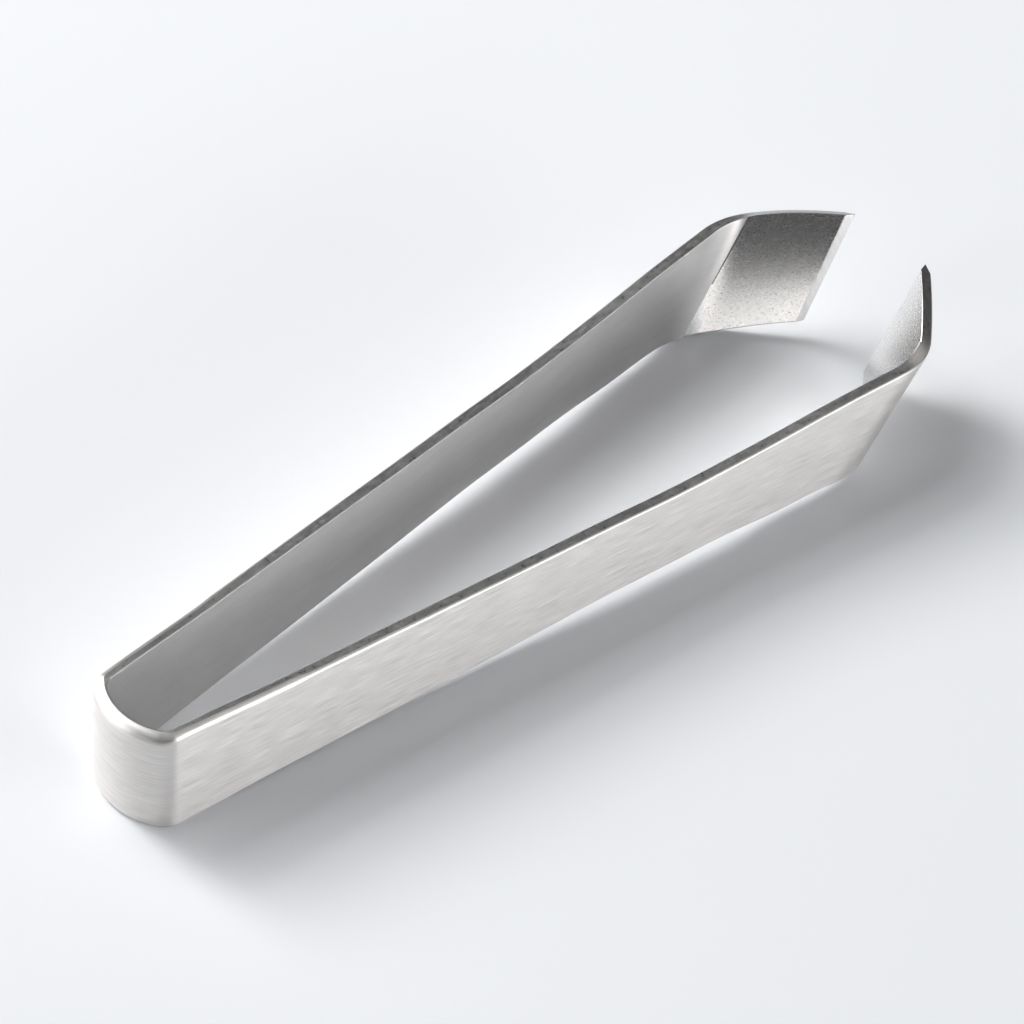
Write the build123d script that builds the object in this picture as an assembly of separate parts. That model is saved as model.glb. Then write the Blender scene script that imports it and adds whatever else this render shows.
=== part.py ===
from build123d import *
import math
import os

# Sprung tweezer tongs bent from one strip of stainless steel.
# The strip stands on its edge: its width runs along Z, its thickness across.
# +X runs from the heel to the tips, +Y is the left arm, Z = 0 is the surface the
# tongs lie on, and X = 0 is the middle of the overall length.
# All dimensions are in millimetres and degrees.

# ---------------------------------------------------------------- dimensions
OVERALL = 120.0            # heel back to tip corner
T = 1.5                    # strip thickness
HEEL_HALF = 5.8            # half width at the heel corners, strip mid-surface
HEEL_SAG = 2.64            # how far the arched heel back stands behind its corners
HEEL_CORNER_R = 1.5        # heel corner radius, strip mid-surface
ARM_ANGLE = 5.6            # each arm's angle to the centre line, tongs at rest
ARM_LEN = 98.8             # unit of the distances along the strip in the tables below
FOLD_Z = 7.1               # height at which the four distances below are measured
FOLD_FROM = 97.79          # heel corner to the start of the fold, along the flat strip
FOLD_TO = 106.50           # heel corner to the end of the fold
FOLD_FROM_SLANT = 39.93    # lean of the fold's first line from upright, top towards the tip
FOLD_TO_SLANT = 25.46      # lean of its last line; the fold is a cone, tighter at the top
FOLD_ANGLE = 59.50         # turn of the jaw round the cone's axis
TIP_FROM = 118.06          # heel corner to the tip edge
TIP_BEVEL = 1.1            # length of the ground bevel on each side of the tip edge
TIP_LAND = 0.12            # flat left on the tip edge between the two bevels
HEEL_TOP = 14.0            # strip width at the heel

# Edge heights of the strip in the flat: (distance along the strip / ARM_LEN, height)
TOP_EDGE = [(0.0, 14.00), (0.12, 13.50), (0.25, 13.12), (0.40, 12.76), (0.52, 12.50),
            (0.62, 12.31), (0.70, 12.08), (0.78, 12.19), (0.86, 12.47), (0.94, 12.88),
            (1.03, 13.04), (1.12, 12.89), (1.25, 10.11)]
BOTTOM_EDGE = [(0.0, 0.00), (0.12, 0.32), (0.25, 0.56), (0.40, 0.88), (0.52, 1.22),
               (0.62, 1.50), (0.70, 1.44), (0.78, 1.44), (0.86, 0.99), (0.93, 0.89),
               (1.00, 0.10), (1.10, -0.40), (1.20, -1.60)]

# Edge rounding: (distance along the strip / ARM_LEN, radius)
OUTER_ROUND = [(0.0, 0.55), (0.15, 0.45), (0.45, 0.26), (1.0, 0.22), (1.3, 0.20)]
INNER_ROUND = [(0.0, 0.20), (0.15, 0.17), (0.45, 0.12), (1.3, 0.10)]

# ---------------------------------------------------------------- derived
AL = math.radians(ARM_ANGLE)
B0 = math.radians(FOLD_FROM_SLANT)
B1 = math.radians(FOLD_TO_SLANT)
PH = math.radians(FOLD_ANGLE)
XC = -OVERALL / 2 + HEEL_SAG + T / 2          # heel corner, where the arms start

E1 = Vector(math.cos(AL), math.sin(AL), 0)    # along the left arm
NI = Vector(math.sin(AL), -math.cos(AL), 0)   # across it, towards the other arm
E3 = Vector(0, 0, 1)

# The first and last lines of the fold meet above the strip at the apex of the cone.
APEX_Z = FOLD_Z + (FOLD_TO - FOLD_FROM) / (math.tan(B0) - math.tan(B1))
APEX_S = FOLD_FROM + math.tan(B0) * (APEX_Z - FOLD_Z)
APEX = Vector(XC, HEEL_HALF, APEX_Z) + E1 * APEX_S
SPREAD = B0 - B1                                      # angle of the fold in the flat strip
HALF_CONE = math.asin(SPREAD / PH)
LINE_0 = (E1 * math.sin(B0) + E3 * math.cos(B0)) * -1     # down the fold's first line
OUT_0 = E1 * math.cos(B0) - E3 * math.sin(B0)             # square to it, towards the tip
AXIS = LINE_0 * math.cos(HALF_CONE) + NI * math.sin(HALF_CONE)
TURN = 1.0 if AXIS.cross(LINE_0).dot(OUT_0) > 0 else -1.0


def curve(points, flat_start):
    """Cubic spline through points, given as (fraction of ARM_LEN, height)."""
    xs = [p[0] * ARM_LEN for p in points]
    ys = [p[1] for p in points]
    n = len(xs)
    a = [[0.0] * n for _ in range(n)]
    b = [0.0] * n
    if flat_start:
        h0 = xs[1] - xs[0]
        a[0][0], a[0][1] = h0 / 3, h0 / 6
        b[0] = (ys[1] - ys[0]) / h0
    else:
        a[0][0] = 1.0
    a[n - 1][n - 1] = 1.0
    for i in range(1, n - 1):
        h0, h1 = xs[i] - xs[i - 1], xs[i + 1] - xs[i]
        a[i][i - 1], a[i][i], a[i][i + 1] = h0 / 6, (h0 + h1) / 3, h1 / 6
        b[i] = (ys[i + 1] - ys[i]) / h1 - (ys[i] - ys[i - 1]) / h0
    for i in range(1, n):
        m = a[i][i - 1] / a[i - 1][i - 1]
        a[i][i - 1] = 0.0
        a[i][i] -= m * a[i - 1][i]
        b[i] -= m * b[i - 1]
    k = [0.0] * n
    k[n - 1] = b[n - 1] / a[n - 1][n - 1]
    for i in range(n - 2, -1, -1):
        k[i] = (b[i] - a[i][i + 1] * k[i + 1]) / a[i][i]

    def f(s):
        i = 0
        while i < n - 2 and s > xs[i + 1]:
            i += 1
        h = xs[i + 1] - xs[i]
        u, w = (xs[i + 1] - s), (s - xs[i])
        return (k[i] * u**3 + k[i + 1] * w**3) / (6 * h) \
            + (ys[i] / h - k[i] * h / 6) * u + (ys[i + 1] / h - k[i + 1] * h / 6) * w
    return f


def table(points, s):
    """Straight-line lookup of a radius along the strip."""
    t = s / ARM_LEN
    for (x0, y0), (x1, y1) in zip(points, points[1:]):
        if t <= x1:
            return y0 + (y1 - y0) * (t - x0) / (x1 - x0)
    return points[-1][1]


top_z = curve(TOP_EDGE, True)
bottom_z = curve(BOTTOM_EDGE, True)


def turned(v, angle):
    """Vector turned round the cone's axis."""
    return v * math.cos(angle) + AXIS.cross(v) * math.sin(angle) \
        + AXIS * (AXIS.dot(v) * (1 - math.cos(angle)))


def place(s, z):
    """Point of the flat strip's mid-surface, folded into place on the left arm,
    with the unit normal towards the other arm."""
    ds, dz = s - APEX_S, z - APEX_Z
    u = -ds * math.sin(B0) - dz * math.cos(B0)
    v = ds * math.cos(B0) - dz * math.sin(B0)
    r, th = math.hypot(u, v), math.atan2(v, u)
    on = min(max(th, 0.0), SPREAD)                        # angle travelled on the cone
    psi = on / math.sin(HALF_CONE) * TURN
    line, out, nrm = turned(LINE_0, psi), turned(OUT_0, psi), turned(NI, psi)
    return APEX + (line * math.cos(th - on) + out * math.sin(th - on)) * r, nrm


def edge_at_ruling(f, slant):
    """Where an edge of the flat strip crosses the line through the apex at this slant."""
    s = ARM_LEN
    for _ in range(80):
        s = 0.5 * s + 0.5 * (APEX_S + math.tan(slant) * (f(s) - APEX_Z))
    return s


# Squeezing turns each arm about the inner edge of its root.
ROOT = Vector(XC, HEEL_HALF, 0)
PIVOT = ROOT + NI * (T / 2)


def edge_at_tip(f, slant):
    """Where an edge of the flat strip meets the tip line."""
    s = TIP_FROM
    for _ in range(80):
        s = 0.5 * s + 0.5 * (TIP_FROM + math.tan(slant) * (f(s) - FOLD_Z))
    return s


def tip_line():
    """Tip line's lean in the flat strip and the closing angle, such that the two tip
    edges lie flat against each other when the tongs are squeezed shut."""
    o = place(TIP_FROM, FOLD_Z)[0]
    ds = place(TIP_FROM + 1, FOLD_Z)[0] - o
    dz = place(TIP_FROM, FOLD_Z + 1)[0] - o
    th, slant = math.radians(2.8), math.radians(35)
    for _ in range(40):
        c, s = math.cos(th), math.sin(th)
        slant = math.atan((dz.X * s - dz.Y * c) / (ds.Y * c - ds.X * s))
        e = edge_at_tip(top_z, slant)
        tip = place(e, top_z(e))[0]
        dx, dy = tip.X - PIVOT.X, tip.Y - PIVOT.Y
        th = math.atan2(dy, dx) - math.asin((TIP_LAND * 0.5 - PIVOT.Y) / math.hypot(dx, dy))
    return slant, th


TIP_SLANT, CLOSE = tip_line()


def section(b, t, n, ro, ri):
    """Rounded rectangle across the strip, from its bottom point b to its top point t.
    n points to the inside of the tongs."""
    u = (t - b).normalized()
    h = T / 2
    d = math.sqrt(0.5)

    def arc(p, c, m, r, q):
        return Edge.make_three_point_arc(p, c + m * (d * r), q)
    i1, i2 = b + n * h + u * ri, t + n * h - u * ri
    c1 = t + n * (h - ri) - u * ri
    i3 = t + n * (h - ri)
    o1 = t - n * (h - ro)
    c2 = t - n * (h - ro) - u * ro
    o2, o3 = t - n * h - u * ro, b - n * h + u * ro
    c3 = b - n * (h - ro) + u * ro
    o4 = b - n * (h - ro)
    i4 = b + n * (h - ri)
    c4 = b + n * (h - ri) + u * ri
    return Wire([Edge.make_line(i1, i2), arc(i2, c1, n + u, ri, i3),
                 Edge.make_line(i3, o1), arc(o1, c2, u - n, ro, o2),
                 Edge.make_line(o2, o3), arc(o3, c3, (n + u) * -1, ro, o4),
                 Edge.make_line(o4, i4), arc(i4, c4, n - u, ri, i1)])


def rib(sb, st):
    """Section of the strip between its bottom edge at sb and its top edge at st."""
    b, nb = place(sb, bottom_z(sb))
    t, nt = place(st, top_z(st))
    s = (sb + st) / 2
    return section(b, t, (nb + nt).normalized(), table(OUTER_ROUND, s), table(INNER_ROUND, s))


# ---------------------------------------------------------------- heel
def heel():
    """U-shaped spring end: an arched back with a tight corner on each side."""
    c = Vector(XC, HEEL_HALF, 0) + NI * HEEL_CORNER_R
    a = c.X - XC + HEEL_SAG
    rb = (a * a + c.Y**2 - HEEL_CORNER_R**2) / (2 * (a - HEEL_CORNER_R))
    xb = XC - HEEL_SAG + rb
    ang = math.atan2(c.Y, c.X - xb)

    def outline(off):
        """Left half of the heel curve, off inwards from the mid-surface."""
        p0 = Vector(xb - (rb - off), 0, 0)
        am = (math.pi + ang) / 2
        p1 = Vector(xb + (rb - off) * math.cos(am), (rb - off) * math.sin(am), 0)
        p2 = Vector(xb + (rb - off) * math.cos(ang), (rb - off) * math.sin(ang), 0)
        rc = HEEL_CORNER_R - off
        ae = math.atan2(math.cos(AL), -math.sin(AL))
        a3 = (ang + ae) / 2
        p3 = Vector(c.X + rc * math.cos(a3), c.Y + rc * math.sin(a3), 0)
        p4 = Vector(c.X + rc * math.cos(ae), c.Y + rc * math.sin(ae), 0)
        return p0, p1, p2, p3, p4

    def flip(p):
        return Vector(p.X, -p.Y, p.Z)
    o, i = outline(-T / 2), outline(T / 2)
    edges = [
        Edge.make_three_point_arc(flip(o[2]), o[0], o[2]),
        Edge.make_three_point_arc(o[2], o[3], o[4]),
        Edge.make_line(o[4], i[4]),
        Edge.make_three_point_arc(i[4], i[3], i[2]),
        Edge.make_three_point_arc(i[2], i[0], flip(i[2])),
        Edge.make_three_point_arc(flip(i[2]), flip(i[3]), flip(i[4])),
        Edge.make_line(flip(i[4]), flip(o[4])),
        Edge.make_three_point_arc(flip(o[4]), flip(o[3]), flip(o[2])),
    ]
    body = Solid.extrude(Face(Wire(edges)), Vector(0, 0, HEEL_TOP))

    def chain(off):
        pts = outline(off)
        keys = [pts[1], flip(pts[1]), pts[3], flip(pts[3]), pts[0]]
        found = []
        for e in body.edges():
            m = e.position_at(0.5)
            if min(abs(m.Z), abs(m.Z - HEEL_TOP)) > 0.001:
                continue
            if min((Vector(m.X, m.Y, 0) - k).length for k in keys) < 0.02:
                found.append(e)
        return found
    body = body.fillet(OUTER_ROUND[0][1], chain(-T / 2))
    body = body.fillet(INNER_ROUND[0][1], chain(T / 2))
    return body


# ---------------------------------------------------------------- arm and jaw
def arm():
    """Flat arm from the heel corner to the first line of the fold."""
    sb, st = edge_at_ruling(bottom_z, B0), edge_at_ruling(top_z, B0)
    n = 18
    return Solid.make_loft([rib(sb * k / n, st * k / n) for k in range(n + 1)])


def jaw():
    """Fold and flat jaw, ground to a slanted knife edge at the tip."""
    ribs = []
    n = 14
    for k in range(n + 1):
        slant = B0 - SPREAD * k / n
        ribs.append(rib(edge_at_ruling(bottom_z, slant), edge_at_ruling(top_z, slant)))
    b0, t0 = edge_at_ruling(bottom_z, B1), edge_at_ruling(top_z, B1)
    b1, t1 = edge_at_tip(bottom_z, TIP_SLANT), edge_at_tip(top_z, TIP_SLANT)
    m = 6
    for k in range(1, m + 1):
        ribs.append(rib(b0 + (b1 - b0) * k / m, t0 + (t1 - t0) * k / m))
    body = Solid.make_loft(ribs)
    # the two bevels meet in the middle of the thickness, along the tip line
    pb, nrm = place(b1, bottom_z(b1))
    pt, _ = place(t1, top_z(t1))
    along = (pt - pb).normalized()
    out = along.cross(nrm).normalized()
    if out.dot(E1) < 0:
        out = out * -1
    for sgn in (1, -1):
        side = nrm * sgn
        a = pb + side * (TIP_LAND / 2)
        slope = (out * -TIP_BEVEL + side * (T / 2 - TIP_LAND / 2)).normalized()
        cut_n = along.cross(slope).normalized()
        if cut_n.dot(out) < 0:
            cut_n = cut_n * -1
        body = body.split(Plane(origin=a, z_dir=cut_n), keep=Keep.BOTTOM)
    return body


left_arm = arm()
left_jaw = jaw()
parts = {
    "heel_spring": heel(),
    "left_arm": left_arm,
    "left_jaw": left_jaw,
    "right_arm": left_arm.mirror(Plane.XZ),
    "right_jaw": left_jaw.mirror(Plane.XZ),
}

os.makedirs("parts", exist_ok=True)
for name, shape in parts.items():
    shape.label = name
    export_step(shape, f"parts/{name}.step")

whole = Compound(list(parts.values())).bounding_box()
print("box", [round(v, 3) for v in (*whole.min, *whole.max)])
print("tip slant %.3f deg, closing angle %.4f deg" % (math.degrees(TIP_SLANT), math.degrees(CLOSE)))
print("pivot", round(PIVOT.X, 4), round(PIVOT.Y, 4))
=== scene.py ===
import math

import bmesh
import bpy
import numpy as np
from mathutils import Matrix, Vector


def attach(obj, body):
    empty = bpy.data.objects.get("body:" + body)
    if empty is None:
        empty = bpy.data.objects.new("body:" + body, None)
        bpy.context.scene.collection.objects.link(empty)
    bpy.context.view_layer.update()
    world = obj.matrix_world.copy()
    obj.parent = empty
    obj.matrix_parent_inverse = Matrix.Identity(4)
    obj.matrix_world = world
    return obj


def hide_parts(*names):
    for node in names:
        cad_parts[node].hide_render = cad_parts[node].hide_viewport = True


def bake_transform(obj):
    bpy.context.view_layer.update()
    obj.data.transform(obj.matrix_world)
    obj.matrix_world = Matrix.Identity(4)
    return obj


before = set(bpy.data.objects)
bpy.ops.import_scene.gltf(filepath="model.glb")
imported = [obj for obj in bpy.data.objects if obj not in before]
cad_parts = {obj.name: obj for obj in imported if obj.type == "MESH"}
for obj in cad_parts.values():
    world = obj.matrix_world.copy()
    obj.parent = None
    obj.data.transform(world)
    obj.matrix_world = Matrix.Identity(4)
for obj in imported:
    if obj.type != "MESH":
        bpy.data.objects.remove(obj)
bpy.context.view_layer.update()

MM = 0.001
scene = bpy.context.scene
scene.view_settings.view_transform = "Standard"
scene.view_settings.look = "None"
scene.view_settings.exposure = 0.0
scene.view_settings.gamma = 1.0
scene.cycles.sample_clamp_indirect = 0.0      # light thrown on the floor by the bright strip
scene.cycles.blur_glossy = 0.0

# ------------------------------------------------------------------ camera
AZ, EL, ROLL = math.radians(-45.4349), math.radians(44.0086), math.radians(3.3754)
TARGET = Vector((-1.990, -1.536, 9.977)) * MM
DIST = 834.231 * MM
FOCAL_PX = 7383.53

back = Vector((math.sin(AZ) * math.cos(EL), -math.cos(AZ) * math.cos(EL), math.sin(EL)))
right0 = (-back).cross(Vector((0, 0, 1))).normalized()
up0 = right0.cross(-back)
right = right0 * math.cos(ROLL) + up0 * math.sin(ROLL)
up = up0 * math.cos(ROLL) - right0 * math.sin(ROLL)

cam_data = bpy.data.cameras.new("camera")
cam_data.sensor_fit = "HORIZONTAL"
cam_data.sensor_width = 36.0
cam_data.lens = FOCAL_PX / 1024.0 * 36.0
cam_data.clip_start = 0.02
cam_data.clip_end = 20.0
cam = bpy.data.objects.new("camera", cam_data)
rot = Matrix((right, up, back)).transposed().to_4x4()
cam.matrix_world = Matrix.Translation(TARGET + back * DIST) @ rot
scene.collection.objects.link(cam)
scene.camera = cam

# ------------------------------------------------- shape of the strip (mm)
OVERALL = 120.0
T = 1.5
HEEL_HALF = 5.8
HEEL_SAG = 2.64
HEEL_CORNER_R, HEEL_CORNER_AT = 2.4, 0.5       # corner radius, and where on the arm it ends
ARM_LEN = 98.8
FOLD_Z = 7.1
AL = math.radians(5.6)
FOLD_FROM, FOLD_TO = 97.79, 106.50
B0, B1 = math.radians(39.93), math.radians(25.46)
PH = math.radians(59.50)
TIP_AT = 118.06
TIP_SLANT = math.radians(35.166)
TIP_LAND = 0.12

TOP_EDGE = [(0.0, 14.00), (0.12, 13.50), (0.25, 13.12), (0.40, 12.76), (0.52, 12.50),
            (0.62, 12.31), (0.70, 12.08), (0.78, 12.19), (0.86, 12.47), (0.94, 12.88),
            (1.03, 13.04), (1.12, 12.89), (1.25, 10.11)]
BOTTOM_EDGE = [(0.0, 0.00), (0.12, 0.32), (0.25, 0.56), (0.40, 0.88), (0.52, 1.22),
               (0.62, 1.50), (0.70, 1.44), (0.78, 1.44), (0.86, 0.99), (0.93, 0.89),
               (1.00, 0.10), (1.10, -0.40), (1.20, -1.60)]
OUTER_ROUND = [(0.0, 0.74), (0.165, 0.66), (0.180, 0.46), (0.30, 0.36), (0.45, 0.27), (1.0, 0.23), (1.3, 0.20)]
INNER_ROUND = [(0.0, 0.20), (0.15, 0.17), (0.45, 0.12), (1.3, 0.10)]

XC = -OVERALL / 2 + HEEL_SAG + T / 2
E1 = np.array([math.cos(AL), math.sin(AL), 0.0])
NI = np.array([math.sin(AL), -math.cos(AL), 0.0])
E3 = np.array([0.0, 0.0, 1.0])

# The fold is a cone: its apex lies above the strip.
APEX_Z = FOLD_Z + (FOLD_TO - FOLD_FROM) / (math.tan(B0) - math.tan(B1))
APEX_S = FOLD_FROM + math.tan(B0) * (APEX_Z - FOLD_Z)
APEX = np.array([XC, HEEL_HALF, APEX_Z]) + E1 * APEX_S
SPREAD = B0 - B1
HALF_CONE = math.asin(SPREAD / PH)
LINE_0 = -(E1 * math.sin(B0) + E3 * math.cos(B0))
OUT_0 = E1 * math.cos(B0) - E3 * math.sin(B0)
AXIS = LINE_0 * math.cos(HALF_CONE) + NI * math.sin(HALF_CONE)
TURN = 1.0 if float(np.cross(AXIS, LINE_0) @ OUT_0) > 0 else -1.0


def curve(points):
    """Cubic spline with a level start and a natural end."""
    xs = np.array([p[0] * ARM_LEN for p in points])
    ys = np.array([p[1] for p in points])
    n = len(xs)
    h = np.diff(xs)
    a = np.zeros((n, n))
    b = np.zeros(n)
    a[0, 0], a[0, 1] = h[0] / 3, h[0] / 6
    b[0] = (ys[1] - ys[0]) / h[0]
    a[-1, -1] = 1.0
    for i in range(1, n - 1):
        a[i, i - 1], a[i, i], a[i, i + 1] = h[i - 1] / 6, (h[i - 1] + h[i]) / 3, h[i] / 6
        b[i] = (ys[i + 1] - ys[i]) / h[i] - (ys[i] - ys[i - 1]) / h[i - 1]
    k = np.linalg.solve(a, b)

    def value(s):
        s = np.maximum(np.asarray(s, float), 0.0)
        i = np.clip(np.searchsorted(xs, s, side="left") - 1, 0, n - 2)
        hh, u, w = h[i], xs[i + 1] - s, s - xs[i]
        return ((k[i] * u ** 3 + k[i + 1] * w ** 3) / (6 * hh)
                + (ys[i] / hh - k[i] * hh / 6) * u + (ys[i + 1] / hh - k[i + 1] * hh / 6) * w)
    return value


top_z = curve(TOP_EDGE)
bottom_z = curve(BOTTOM_EDGE)


def table(points, s):
    return float(np.interp(s / ARM_LEN, [p[0] for p in points], [p[1] for p in points]))


def turned(v, angle):
    """Vector turned round the cone's axis."""
    c, s = np.cos(angle)[..., None], np.sin(angle)[..., None]
    return v * c + np.cross(AXIS, v) * s + AXIS * float(AXIS @ v) * (1 - c)


def place(s, z, off):
    """Left strip: distance along the arm, height and offset towards the inside."""
    s, z, off = np.broadcast_arrays(np.asarray(s, float), np.asarray(z, float), np.asarray(off, float))
    ds, dz = s - APEX_S, z - APEX_Z
    u = -ds * math.sin(B0) - dz * math.cos(B0)
    v = ds * math.cos(B0) - dz * math.sin(B0)
    r, th = np.hypot(u, v), np.arctan2(v, u)
    on = np.clip(th, 0.0, SPREAD)
    psi = on / math.sin(HALF_CONE) * TURN
    line, out, nrm = turned(LINE_0, psi), turned(OUT_0, psi), turned(NI, psi)
    ex = th - on
    return APEX + r[..., None] * (np.cos(ex)[..., None] * line + np.sin(ex)[..., None] * out) + off[..., None] * nrm


def smooth(a, b, x):
    t = min(1.0, max(0.0, (x - a) / (b - a)))
    return t * t * (3 - 2 * t)


SEAM = 3.0                                   # heel piece runs this far into the flat arms
STEP_AT, STEP_LEAN = 103.29, 0.833           # where the ground jaw face starts
LEANS = [(0.0, 0.0), (45.0, 0.0), (92.0, 0.78), (FOLD_FROM, math.tan(B0)), (STEP_AT, STEP_LEAN),
         (108.5, 0.56), (112.0, 0.56), (TIP_AT, math.tan(TIP_SLANT))]


def lean(c):
    """How far a row of the mesh leans at the strip's middle line."""
    for (a, p), (b, q) in zip(LEANS, LEANS[1:]):
        if c <= b:
            return p + (q - p) * smooth(a, b, c)
    return LEANS[-1][1]


def row_ends(c, wb=0.0, wt=0.0):
    """Heights and stations where a row meets the two edges of the strip."""
    k = lean(c)
    out = []
    for f, w in ((bottom_z, wb), (top_z, wt)):
        s = c
        for _ in range(60):
            s = 0.5 * s + 0.5 * (c - w + k * (float(f(s)) - FOLD_Z))
        out.append((float(f(s)), s))
    return out[0][0], out[1][0], out[0][1], out[1][1]


FACE_N, FIL_N, EDGE_N = 14, 6, 3


def ring(zb, zt, h_in, h_out, ro, ri, dip):
    """Closed section as (z, offset, perimeter station, face kind) going inner face,
    top edge, outer face, bottom edge.  dip lowers the inner face between its borders."""
    rb_o, rb_i = min(ro * 0.8, 0.44), ri
    pts = []

    def arc(cz, co, r, a0, a1, kind):
        for j in range(1, FIL_N):
            a = a0 + (a1 - a0) * j / FIL_N
            pts.append((cz + r * math.sin(a), co + r * math.cos(a), kind))

    # inner face, going up
    z0, z1 = zb + rb_i, zt - ri
    sup = 0.045
    pts.append((z0, h_in, "in"))
    pts.append((z0 + sup, h_in, "in"))
    for j in range(1, FACE_N):
        pts.append((z0 + sup + (z1 - z0 - 2 * sup) * j / FACE_N, h_in - dip, "in"))
    pts.append((z1 - sup, h_in, "in"))
    pts.append((z1, h_in, "fin"))
    arc(z1, h_in - ri, ri, 0.0, math.pi / 2, "fin")
    # top edge face, going outwards
    o0, o1 = h_in - ri, -h_out + ro
    pts.append((zt, o0, "edge"))
    w = o0 - o1
    sup_e = min(0.03, w * 0.2)
    pts.append((zt, o0 - sup_e, "edge"))
    for j in range(1, EDGE_N):
        pts.append((zt, o0 - sup_e - (w - 2 * sup_e) * j / EDGE_N, "edge"))
    pts.append((zt, o1 + sup_e, "edge"))
    pts.append((zt, o1, "fout"))
    arc(zt - ro, -h_out + ro, ro, math.pi / 2, math.pi, "fout")
    # outer face, going down
    z0, z1 = zt - ro, zb + rb_o
    pts.append((z0, -h_out, "out"))
    pts.append((z0 - sup, -h_out, "out"))
    for j in range(1, FACE_N):
        pts.append((z0 - sup - (z0 - z1 - 2 * sup) * j / FACE_N, -h_out, "out"))
    pts.append((z1 + sup, -h_out, "out"))
    pts.append((z1, -h_out, "fout"))
    arc(z1, -h_out + rb_o, rb_o, math.pi, 1.5 * math.pi, "fout")
    # bottom edge face, going inwards
    o0, o1 = -h_out + rb_o, h_in - rb_i
    w = o1 - o0
    sup_e = min(0.03, w * 0.2)
    pts.append((zb, o0, "edge"))
    pts.append((zb, o0 + sup_e, "edge"))
    for j in range(1, EDGE_N):
        pts.append((zb, o0 + sup_e + (w - 2 * sup_e) * j / EDGE_N, "edge"))
    pts.append((zb, o1 - sup_e, "edge"))
    pts.append((zb, o1, "fin"))
    arc(zb + rb_i, h_in - rb_i, rb_i, 1.5 * math.pi, 2 * math.pi, "fin")
    return pts


# slot 5 ("line") holds the painted shadow line behind the step on the jaw's inside
SLOT = {"out": 0, "fout": 0, "in": 1, "fin": 6, "edge": 2, "ground": 3, "bevel": 4, "line": 5}


def build(name, rows, kinds, us, mirror, caps, materials, sharp_rows=()):
    """rows: list of (n,3) mm rings; kinds: per row-gap list of face kinds."""
    n = len(rows[0])
    verts = np.concatenate(rows) * MM
    if mirror:
        verts = verts * np.array([1.0, -1.0, 1.0])
    m = len(rows)
    faces, mats, uvs = [], [], []
    # perimeter coordinate of each ring point
    per = []
    for r in rows:
        d = np.linalg.norm(np.roll(r, -1, axis=0) - r, axis=1)
        per.append(np.concatenate([[0.0], np.cumsum(d)]))
    ref = per[0]
    for i in range(m - 1):
        for j in range(n):
            k = (j + 1) % n
            f = [i * n + j, i * n + k, (i + 1) * n + k, (i + 1) * n + j]
            uv = [(us[i][j], ref[j]), (us[i][k], ref[j + 1]), (us[i + 1][k], ref[j + 1]), (us[i + 1][j], ref[j])]
            if mirror:
                f.reverse()
                uv.reverse()
            faces.append(f)
            uvs.append(uv)
            mats.append(SLOT[kinds[i][j]])
    for cap, flip in caps:
        idx = [cap * n + j for j in range(n)]
        if flip != mirror:
            idx.reverse()
        faces.append(idx)
        uvs.append([(us[cap][0], ref[0])] * n)
        mats.append(2)
    mesh = bpy.data.meshes.new(name)
    mesh.from_pydata([tuple(v) for v in verts], [], faces)
    for mt in materials:
        mesh.materials.append(mt)
    mesh.polygons.foreach_set("material_index", mats)
    mesh.polygons.foreach_set("use_smooth", [True] * len(faces))
    layer = mesh.uv_layers.new(name="strip")
    flat = np.array([c for uv in uvs for c in uv], dtype=float) * 0.01
    layer.data.foreach_set("uv", flat.ravel())
    mesh.update()
    bm = bmesh.new()
    bm.from_mesh(mesh)
    bmesh.ops.recalc_face_normals(bm, faces=bm.faces)
    bm.to_mesh(mesh)
    bm.free()
    mesh.set_sharp_from_angle(angle=math.radians(24))
    obj = bpy.data.objects.new(name, mesh)
    scene.collection.objects.link(obj)
    return obj


# ---------------------------------------------------------------- materials
def node(nt, kind, x, y, **props):
    nd = nt.nodes.new(kind)
    nd.location = (x, y)
    for k, v in props.items():
        setattr(nd, k, v)
    return nd


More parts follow.
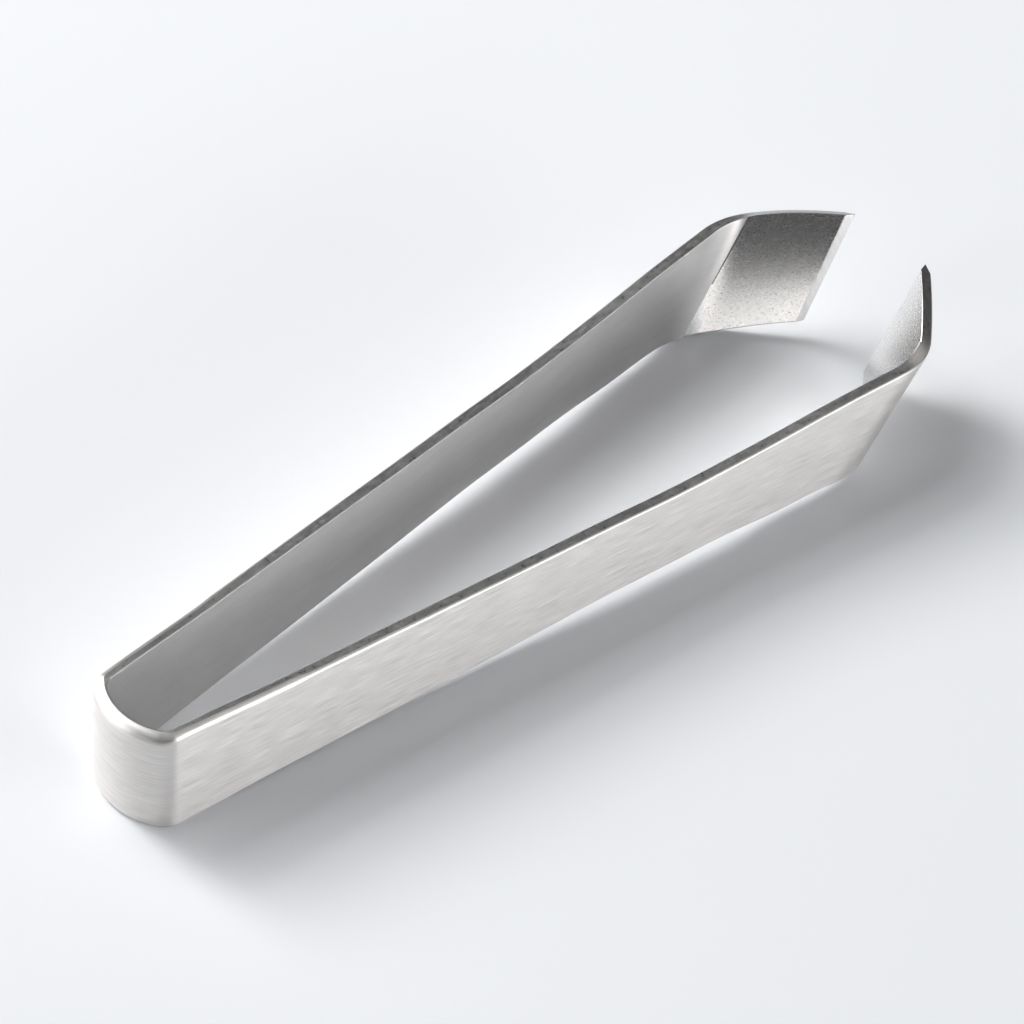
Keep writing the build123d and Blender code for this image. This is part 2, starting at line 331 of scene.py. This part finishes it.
def steel(name, base, spread, rough, rough_spread, aniso, along, across, bump, grain=0.0,
          grain_scale=0.0, grain_long=1.0, aniso_rotation=0.25, smudge=0.0):
    """Bare stainless steel.  along / across: size in mm of the marks along the strip and
    across it; grain: strength of a ground texture of grain_scale mm, grain_long times longer
    along the strip than across it."""
    mat = bpy.data.materials.new(name)
    mat.use_nodes = True
    nt = mat.node_tree
    nt.nodes.clear()
    out = node(nt, "ShaderNodeOutputMaterial", 900, 0)
    bs = node(nt, "ShaderNodeBsdfPrincipled", 600, 0)
    nt.links.new(bs.outputs["BSDF"], out.inputs["Surface"])
    bs.inputs["Metallic"].default_value = 1.0
    bs.inputs["Anisotropic"].default_value = aniso
    bs.inputs["Anisotropic Rotation"].default_value = aniso_rotation
    uv = node(nt, "ShaderNodeUVMap", -900, 0, uv_map="strip")
    # one UV unit is 100 mm
    mp = node(nt, "ShaderNodeMapping", -700, 0)
    mp.inputs["Scale"].default_value = (100.0 / along, 100.0 / across, 1.0)
    nt.links.new(uv.outputs["UV"], mp.inputs["Vector"])
    n1 = node(nt, "ShaderNodeTexNoise", -500, 100)
    n1.inputs["Scale"].default_value = 1.0
    n1.inputs["Detail"].default_value = 4.0
    n1.inputs["Roughness"].default_value = 0.62
    nt.links.new(mp.outputs["Vector"], n1.inputs["Vector"])
    height = n1.outputs["Fac"]
    tone = n1.outputs["Fac"]
    if grain > 0:
        mg = node(nt, "ShaderNodeMapping", -700, -400)
        mg.inputs["Scale"].default_value = (100.0 / (grain_scale * grain_long), 100.0 / grain_scale, 1.0)
        nt.links.new(uv.outputs["UV"], mg.inputs["Vector"])
        n2 = node(nt, "ShaderNodeTexNoise", -500, -400)
        n2.inputs["Scale"].default_value = 1.0
        n2.inputs["Detail"].default_value = 5.0
        n2.inputs["Roughness"].default_value = 0.65
        nt.links.new(mg.outputs["Vector"], n2.inputs["Vector"])
        mx = node(nt, "ShaderNodeMix", -300, -100, data_type="FLOAT")
        mx.inputs["Factor"].default_value = grain
        nt.links.new(n1.outputs["Fac"], mx.inputs["A"])
        nt.links.new(n2.outputs["Fac"], mx.inputs["B"])
        height = mx.outputs["Result"]
        tone = mx.outputs["Result"]
    ramp = node(nt, "ShaderNodeMapRange", -80, 150)
    ramp.inputs["From Min"].default_value = 0.32
    ramp.inputs["From Max"].default_value = 0.68
    ramp.inputs["To Min"].default_value = rough - rough_spread
    ramp.inputs["To Max"].default_value = rough + rough_spread
    nt.links.new(tone, ramp.inputs["Value"])
    nt.links.new(ramp.outputs["Result"], bs.inputs["Roughness"])
    cr = node(nt, "ShaderNodeMapRange", -80, 400)
    cr.inputs["From Min"].default_value = 0.32
    cr.inputs["From Max"].default_value = 0.68
    cr.inputs["To Min"].default_value = 0.0
    cr.inputs["To Max"].default_value = 1.0
    nt.links.new(tone, cr.inputs["Value"])
    cm = node(nt, "ShaderNodeMix", 150, 350, data_type="RGBA")
    cm.inputs["A"].default_value = tuple(max(0.0, c - spread) for c in base) + (1.0,)
    cm.inputs["B"].default_value = tuple(min(1.0, c + spread) for c in base) + (1.0,)
    nt.links.new(cr.outputs["Result"], cm.inputs["Factor"])
    col = cm.outputs["Result"]
    if smudge > 0:
        ms = node(nt, "ShaderNodeMapping", -700, 700)
        ms.inputs["Scale"].default_value = (100.0 / 4.5, 100.0 / 1.6, 1.0)
        nt.links.new(uv.outputs["UV"], ms.inputs["Vector"])
        n3 = node(nt, "ShaderNodeTexNoise", -500, 700)
        n3.inputs["Scale"].default_value = 1.0
        n3.inputs["Detail"].default_value = 3.0
        nt.links.new(ms.outputs["Vector"], n3.inputs["Vector"])
        sr = node(nt, "ShaderNodeMapRange", -80, 700)
        sr.inputs["From Min"].default_value = 0.35
        sr.inputs["From Max"].default_value = 0.65
        sr.inputs["To Min"].default_value = 1.0 - smudge
        sr.inputs["To Max"].default_value = 1.0
        nt.links.new(n3.outputs["Fac"], sr.inputs["Value"])
        mm = node(nt, "ShaderNodeMix", 350, 400, data_type="RGBA", blend_type="MULTIPLY")
        mm.inputs["Factor"].default_value = 1.0
        nt.links.new(col, mm.inputs["A"])
        nt.links.new(sr.outputs["Result"], mm.inputs["B"])
        col = mm.outputs["Result"]
    nt.links.new(col, bs.inputs["Base Color"])
    bp = node(nt, "ShaderNodeBump", 150, -250)
    bp.inputs["Strength"].default_value = 1.0
    bp.inputs["Distance"].default_value = bump * MM
    nt.links.new(height, bp.inputs["Height"])
    nt.links.new(bp.outputs["Normal"], bs.inputs["Normal"])
    if aniso > 0:
        tg = node(nt, "ShaderNodeTangent", 150, -450, direction_type="UV_MAP", uv_map="strip")
        nt.links.new(tg.outputs["Tangent"], bs.inputs["Tangent"])
    return mat


brushed_out = steel("brushed_outer", (0.715, 0.695, 0.675), 0.075, 0.49, 0.06, 0.60, 4.5, 0.19, 0.006, smudge=0.04)
brushed_in = steel("brushed_inner", (0.65, 0.64, 0.63), 0.035, 0.36, 0.04, 0.45, 7.0, 0.17, 0.002, smudge=0.04)
edge_mat = steel("sheared_edge", (0.55, 0.545, 0.54), 0.10, 0.32, 0.08, 0.0, 1.6, 0.28, 0.003, grain=0.5, grain_scale=0.35)
ground_mat = steel("ground_face", (0.83, 0.825, 0.82), 0.09, 0.25, 0.06, 0.0, 0.6, 0.3, 0.0068, grain=0.85, grain_scale=0.22, grain_long=1.8)
bevel_mat = steel("ground_bevel", (0.80, 0.79, 0.78), 0.06, 0.36, 0.05, 0.0, 0.25, 3.0, 0.003)
# painted shadow: dark grey steel laid on the strip just behind the step, standing in for the shade there
step_shadow_mat = steel("step_shadow", (0.16, 0.16, 0.16), 0.06, 0.55, 0.05, 0.0, 0.8, 0.4, 0.002, grain=0.5, grain_scale=0.3)
rim_mat = steel("inner_rim", (0.50, 0.495, 0.49), 0.05, 0.50, 0.05, 0.0, 3.0, 0.3, 0.002)
MATS = [brushed_out, brushed_in, edge_mat, ground_mat, bevel_mat, step_shadow_mat, rim_mat]

# ---------------------------------------------------------- strips (arm + jaw)
STEP_DEPTH = 0.06
CUT_MAX = 0.30                                # deepest grinding into the inside of the fold
BEVEL_TOP, BEVEL_BOTTOM = 1.14, 0.86          # along the strip, measured square to the tip


def stations():
    cs = list(np.arange(SEAM, 44.0, 1.0)) + list(np.arange(44.0, 94.0, 0.8))
    cs += list(np.arange(94.0, 96.0, 0.4)) + list(np.arange(96.0, 109.0, 0.2))
    cs += list(np.arange(109.0, TIP_AT - 1.9, 0.4))
    cs = [c for c in cs if not -0.13 < c - STEP_AT < 0.48]
    cs += [STEP_AT + d for d in (-0.09, -0.04, -0.01, 0.03, 0.06, 0.12, 0.18, 0.24, 0.30, 0.36, 0.42)]
    return sorted(cs)


def painted_shadow_width(z):
    """Width of the painted shadow line behind the step; it fades out towards both edges."""
    return 0.40 * smooth(3.4, 6.0, z) * (1.0 - smooth(11.2, 12.6, z)) - 0.02


JAW_AT = place(115.0, 7.0, T / 2)
JAW_N = place(115.0, 7.0, 1.0) - place(115.0, 7.0, 0.0)


def ground_cut(s, z):
    """How deep the flat grinding of the jaw's inner face cuts into the end of the fold."""
    rise = np.maximum((place(s, z, T / 2) - JAW_AT) @ JAW_N, 0.0)
    return CUT_MAX * (1.0 - np.maximum(1.0 - rise / (1.6 * CUT_MAX), 0.0) ** 1.6)


def strip(name, mirror, shift):
    rows, kinds, us = [], [], []
    h = T / 2
    tip_gap = []
    cs = stations()
    # bevel rows: start of the bevel, support rows and the tip itself
    spec = [(c, 0.0) for c in cs] + [(TIP_AT, f) for f in (1.35, 1.05, 1.0, 0.97, 0.8, 0.6, 0.4, 0.2, 0.05, 0.0)]
    first_bevel = len(cs)
    for i, (c, f) in enumerate(spec):
        bevel = i >= first_bevel
        wb, wt = (f * BEVEL_BOTTOM / math.cos(TIP_SLANT), f * BEVEL_TOP / math.cos(TIP_SLANT)) if bevel else (0.0, 0.0)
        zb, zt, sb, st = row_ends(c, wb, wt)
        ro = table(OUTER_ROUND, c)
        ri = table(INNER_ROUND, c)
        if bevel:
            depth = max(0.0, 1.0 - f)                 # 0 at the bevel's start, 1 at the tip
            half = h + (TIP_LAND / 2 - h) * depth if f <= 1.0 else h
            h_in = min(half, h - STEP_DEPTH) if f < 1.2 else h - STEP_DEPTH
            h_out = half
            fade = half / h
            ro, ri = ro * max(0.12, fade) if f <= 1.0 else ro, ri * max(0.12, fade) if f <= 1.0 else ri
            ro, ri = min(ro, half * 0.7), min(ri, h_in * 0.7)
        else:
            ramp = smooth(STEP_AT - 0.035, STEP_AT + 0.035, c)
            h_in = h - STEP_DEPTH * ramp
            h_out = h
        pts = ring(zb, zt, h_in, h_out, ro, ri, 0.0)
        z = np.array([p[0] for p in pts])
        off = np.array([p[1] for p in pts])
        s = sb + (st - sb) * (z - zb) / (zt - zb)
        if not bevel and ramp > 0.0:
            off = off - (off + h) / T * ground_cut(s, z) * ramp
        rows.append(place(s, z, off))
        us.append([(-(shift) - v if mirror else v) for v in s])
        row_kinds = []
        for p in pts:
            kd = p[2]
            if kd in ("in",):
                if bevel and f <= 1.0:
                    kd = "bevel"
                # the strip just behind the step gets the painted shadow line
                elif STEP_AT - 0.05 < c < STEP_AT + painted_shadow_width(p[0]):
                    kd = "line"
                elif c > STEP_AT - 0.02:
                    kd = "ground"
            if kd == "fin" and c > 92.0:
                kd = "in"
            if kd == "out" and bevel and f <= 1.0:
                kd = "bevel"
            row_kinds.append(kd)
        kinds.append(row_kinds)
    return build(name, rows, kinds, us, mirror, [(0, False), (len(rows) - 1, True)], MATS)


# ------------------------------------------------------------------ heel
def heel_path():
    """Mid-line of the heel from the left arm's seam to its middle: points and normals to the
    inside, then mirrored for the other half."""
    c = np.array([XC, HEEL_HALF]) + E1[:2] * HEEL_CORNER_AT + NI[:2] * HEEL_CORNER_R
    a = c[0] - XC + HEEL_SAG
    rb = (a * a + c[1] ** 2 - HEEL_CORNER_R ** 2) / (2 * (a - HEEL_CORNER_R))
    xb = XC - HEEL_SAG + rb
    ang = math.atan2(c[1], c[0] - xb)
    end = math.atan2(math.cos(AL), -math.sin(AL))
    pts, nrm = [], []
    for s in (SEAM, 2.3, 1.7, 1.2, 0.85, 0.58):
        pts.append(np.array([XC, HEEL_HALF]) + E1[:2] * s)
        nrm.append(NI[:2])
    n = 26
    for k in range(n + 1):
        t = end + (ang - end) * k / n
        d = np.array([math.cos(t), math.sin(t)])
        pts.append(c + HEEL_CORNER_R * d)
        nrm.append(-d)
    n = 30
    for k in range(1, n + 1):
        t = ang + (math.pi - ang) * k / n
        d = np.array([math.cos(t), math.sin(t)])
        pts.append(np.array([xb, 0.0]) + rb * d)
        nrm.append(-d)
    flip = np.array([1.0, -1.0])
    pts += [p * flip for p in pts[-2::-1]]
    nrm += [p * flip for p in nrm[-2::-1]]
    return np.array(pts), np.array(nrm)


def heel():
    pts, nrm = heel_path()
    d = np.concatenate([[0.0], np.cumsum(np.linalg.norm(np.diff(pts, axis=0), axis=1))])
    total = d[-1]
    rows, kinds, us = [], [], []
    for i in range(len(pts)):
        s = max(0.0, SEAM - min(d[i], total - d[i]))      # distance into the flat arm
        zb, zt = float(bottom_z(s)), float(top_z(s))
        mid = min(d[i], total - d[i])
        ro = table(OUTER_ROUND, s) + 0.44 * smooth(SEAM - 0.4, SEAM + 1.2, mid)
        ri = table(INNER_ROUND, s)
        sec = ring(zb, zt, T / 2, T / 2, ro, ri, 0.0)
        z = np.array([p[0] for p in sec])
        off = np.array([p[1] for p in sec])
        xy = pts[i] + off[:, None] * nrm[i]
        rows.append(np.column_stack([xy, z]))
        us.append([SEAM - d[i]] * len(sec))
        kinds.append([p[2] for p in sec])
    # the bottom edge's middle row stands on the surface
    return build("heel_bend", rows, kinds, us, False, [(0, False), (len(rows) - 1, True)], MATS), total


heel_obj, heel_total = heel()
SHIFT = heel_total - 2 * SEAM
left = strip("strip_left", False, SHIFT)
right_obj = strip("strip_right", True, SHIFT)

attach(heel_obj, "heel")
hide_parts("heel_spring")


def on_left(s, side):
    p = place(s, 7.0, 0.0) * MM
    return (float(p[0]), float(p[1]) * side, float(p[2]))


on_left(SEAM, 1)
on_left(55.0, 1)
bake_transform(left)
on_left(SEAM, -1)
on_left(55.0, -1)
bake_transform(right_obj)
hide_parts("left_arm", "left_jaw")
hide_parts("right_arm", "right_jaw")

# --------------------------------------------------------- floor and lights
floor_mesh = bpy.data.meshes.new("floor")
R = 2.5
floor_mesh.from_pydata([(-R, -R, 0), (R, -R, 0), (R, R, 0), (-R, R, 0)], [], [(0, 1, 2, 3)])
floor_mat = bpy.data.materials.new("pale_floor")
floor_mat.use_nodes = True
fb = floor_mat.node_tree.nodes["Principled BSDF"]
fb.inputs["Base Color"].default_value = (0.80, 0.815, 0.84, 1.0)
fb.inputs["Roughness"].default_value = 0.9
fb.inputs["Specular IOR Level"].default_value = 0.1
floor_mesh.materials.append(floor_mat)
floor = bpy.data.objects.new("floor", floor_mesh)
scene.collection.objects.link(floor)

world = bpy.data.worlds.new("studio")
scene.world = world
world.use_nodes = True
bg = world.node_tree.nodes["Background"]
bg.inputs["Color"].default_value = (0.0550, 0.0550, 0.0550, 1.0)
bg.inputs["Strength"].default_value = 1.0


def panel(name, direction, dist, sx, sy, power, colour):
    data = bpy.data.lights.new(name, "AREA")
    data.shape = "RECTANGLE"
    data.size = sx
    data.size_y = sy
    data.energy = power
    data.color = colour
    obj = bpy.data.objects.new(name, data)
    d = Vector(direction).normalized()
    obj.location = d * dist
    obj.rotation_euler = d.to_track_quat("Z", "Y").to_euler()
    scene.collection.objects.link(obj)
    return obj


panel("back_high", (0.000, 0.574, 0.819), 1.5, 0.72, 0.60, 6.83, (0.974, 0.997, 1.000))
panel("back_low", (-0.492, 0.853, 0.174), 1.5, 0.80, 0.42, 2.53, (0.983, 0.968, 1.000))
panel("back_mid", (-0.224, 0.837, 0.500), 1.5, 0.74, 0.50, 8.32, (1.000, 0.982, 0.968))
panel("fill", (0.270, -0.940, 0.150), 1.4, 1.15, 0.38, 11.50, (0.978, 0.989, 1.000))
panel("front_high", (0.000, -0.574, 0.819), 1.5, 0.72, 0.60, 1.62, (1.000, 0.977, 0.978))
panel("front_low", (0.492, -0.853, 0.174), 1.5, 0.80, 0.42, 1.53, (0.885, 0.944, 1.000))
panel("key", (-0.060, 0.790, 0.620), 1.7, 0.42, 0.74, 14.15, (1.000, 0.994, 0.988))
panel("left", (-0.780, 0.550, 0.310), 1.5, 1.00, 0.75, 8.18, (0.993, 0.995, 1.000))
panel("right_high", (0.574, 0.000, 0.819), 1.5, 0.72, 0.60, 1.09, (1.000, 0.967, 0.930))
panel("left_high", (-0.574, -0.000, 0.819), 1.5, 0.72, 0.60, 0.66, (0.862, 0.916, 1.000))
